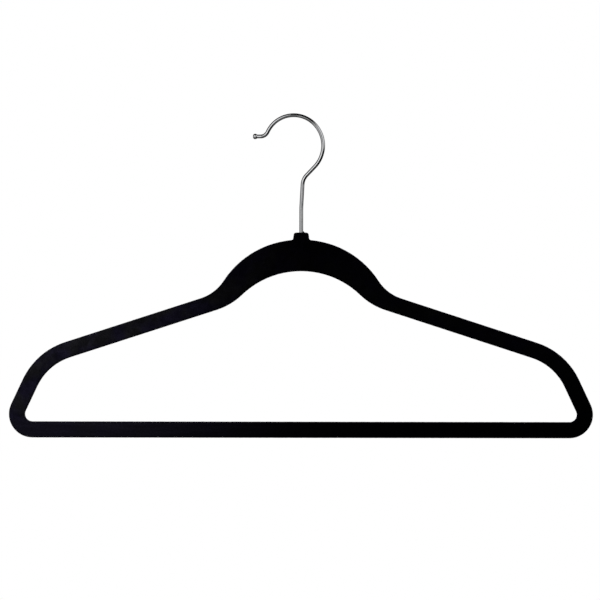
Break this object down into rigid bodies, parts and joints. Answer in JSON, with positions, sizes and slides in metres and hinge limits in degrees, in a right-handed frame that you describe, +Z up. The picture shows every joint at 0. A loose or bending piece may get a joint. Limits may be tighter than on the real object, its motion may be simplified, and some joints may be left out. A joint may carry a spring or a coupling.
{
  "type": "clothes hanger",
  "caption": "Slim flocked clothes hanger with an arched neck, sloping shoulders, a straight trouser bar and a chromed wire hook that swivels a full turn.",
  "frame": {"origin": "the rail seat: the highest point on the inside of the hook's bend, where it rests on a rail", "axes": "+X along the shoulders, away from the hook's open side; +Y through the thickness, from the front to the back; +Z up. The swivel axis is vertical at X = 5.8 mm, Y = 0"},
  "size_m": [0.445, 0.0086, 0.2474],
  "materials": {
    "flock": "short black nylon pile with a soft velvet sheen",
    "core_moulding": "moulded black plastic, hidden under the flock",
    "chromed_wire": "bright chrome plate on drawn steel wire",
    "bush_plastic": "smooth black acetal",
    "clip_steel": "zinc-plated spring steel"
  },
  "bodies": {
    "hook": {"hook_wire": "chromed_wire", "retaining_clip": "clip_steel"},
    "hanger_frame": {"frame_core": "core_moulding", "flock_coat": "flock", "swivel_bush": "bush_plastic"}
  },
  "joints": [
    {"name": "hook_swivel", "type": "hinge", "parent": "hook", "child": "hanger_frame", "pos_m": [0.00582, 0, -0.09275], "axis": [0, 0, 1], "continuous": true}
  ]
}
